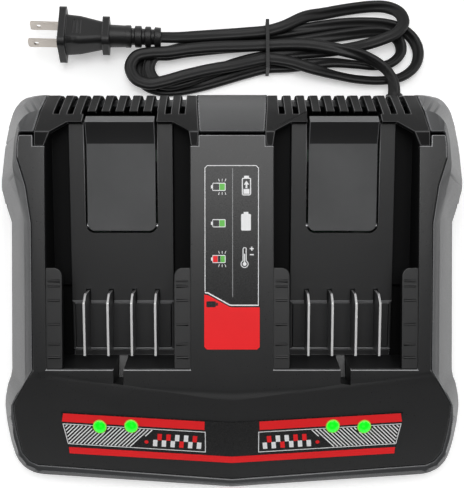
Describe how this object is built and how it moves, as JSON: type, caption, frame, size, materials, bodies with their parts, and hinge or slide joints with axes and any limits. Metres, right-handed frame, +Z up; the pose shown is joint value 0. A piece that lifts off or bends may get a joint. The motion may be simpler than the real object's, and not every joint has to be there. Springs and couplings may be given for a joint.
{
  "type": "battery charger",
  "caption": "Twin-bay mains charger for slide-on power tool battery packs: wedge housing with guide rails, contact blades, sprung catches, vent grilles, lamps and a tied mains cord",
  "frame": {"origin": "middle of the housing's footprint on the table, without the cord", "axes": "+X to the right seen from the front, +Y toward the rear wall and the cord, +Z up"},
  "size_m": [0.2514, 0.2825, 0.0756],
  "materials": {
    "case_plastic": "fine matt grain, near black",
    "surround_plastic": "satin charcoal grey",
    "deck_plastic": "satin near-black",
    "grille_plastic": "polished black",
    "flap_plastic": "satin near-black",
    "spring_steel": "bright wire",
    "terminal_plastic": "matt near-black",
    "contact_metal": "bright plated",
    "circuit_board": "green solder mask",
    "screw_steel": "zinc plated",
    "ribbon_grey": "grey insulation",
    "header_plastic": "ivory plastic",
    "status_print": "printed film: white symbols, red lower panel",
    "front_print": "printed film: red stripes, white hatch and checks",
    "lens_green": "clear green lens",
    "lamp_clear": "clear resin",
    "core_iron": "dark ferrite",
    "winding": "yellow tape",
    "capacitor_sleeve": "dark blue sleeve",
    "sink_aluminium": "plain extrusion",
    "chip_black": "moulded epoxy",
    "choke_wire": "enamelled copper",
    "film_yellow": "yellow case",
    "fuse_ceramic": "ceramic tube",
    "terminal_green": "green block",
    "core_insulation": "black insulation",
    "foot_rubber": "black rubber",
    "cord_rubber": "black flat cord with a faint sheen",
    "tie_plastic": "black coated wire",
    "plug_plastic": "moulded black vinyl"
  },
  "bodies": {
    "charger": {"bottom_case": "case_plastic", "surround": "surround_plastic", "deck": "deck_plastic", "bay_tray_left": "deck_plastic", "bay_tray_right": "deck_plastic", "grille_left": "grille_plastic", "grille_right": "grille_plastic", "flap_pin_left": "spring_steel", "flap_pin_right": "spring_steel", "terminal_block_left": "terminal_plastic", "terminal_block_right": "terminal_plastic", "terminal_blades_left": "contact_metal", "terminal_blades_right": "contact_metal", "terminal_board_left": "circuit_board", "terminal_board_right": "circuit_board", "block_screws": "screw_steel", "ribbon_left": "ribbon_grey", "ribbon_right": "ribbon_grey", "ribbon_headers": "header_plastic", "status_label": "status_print", "front_label": "front_print", "led_lenses": "lens_green", "led_board_left": "circuit_board", "led_board_right": "circuit_board", "led_lamps": "lamp_clear", "led_board_screws": "screw_steel", "main_board": "circuit_board", "transformer_core": "core_iron", "transformer_winding": "winding", "bulk_capacitor": "capacitor_sleeve", "output_capacitors": "capacitor_sleeve", "heat_sink_left": "sink_aluminium", "heat_sink_right": "sink_aluminium", "power_transistors": "chip_black", "bridge_rectifier": "chip_black", "noise_choke": "choke_wire", "film_capacitor": "film_yellow", "mains_fuse": "fuse_ceramic", "fuse_clips": "contact_metal", "mains_terminal": "terminal_green", "mains_wires": "core_insulation", "board_screws": "screw_steel", "housing_screws": "screw_steel", "rubber_feet": "foot_rubber", "cord_strain_relief": "cord_rubber", "cord_clamp": "core_insulation", "clamp_screws": "screw_steel", "cord_lead": "cord_rubber", "cord_hank": "cord_rubber", "cord_tie": "tie_plastic", "cord_tail": "cord_rubber", "plug_strain_relief": "cord_rubber", "plug_body": "plug_plastic", "plug_blades": "contact_metal"},
    "flap_left": {"catch_flap_left": "flap_plastic", "flap_spring_left": "spring_steel"},
    "flap_right": {"catch_flap_right": "flap_plastic", "flap_spring_right": "spring_steel"}
  },
  "joints": [
    {"name": "catch_left", "type": "hinge", "parent": "charger", "child": "flap_left", "pos_m": [-0.0572, 0.03, 0.04335], "axis": [1, 0, 0], "range_deg": [-6, 0], "stiffness_Nm_per_rad": 0.3, "springref_deg": 11.46},
    {"name": "catch_right", "type": "hinge", "parent": "charger", "child": "flap_right", "pos_m": [0.0572, 0.03, 0.04335], "axis": [1, 0, 0], "range_deg": [-6, 0], "stiffness_Nm_per_rad": 0.3, "springref_deg": 11.46}
  ]
}
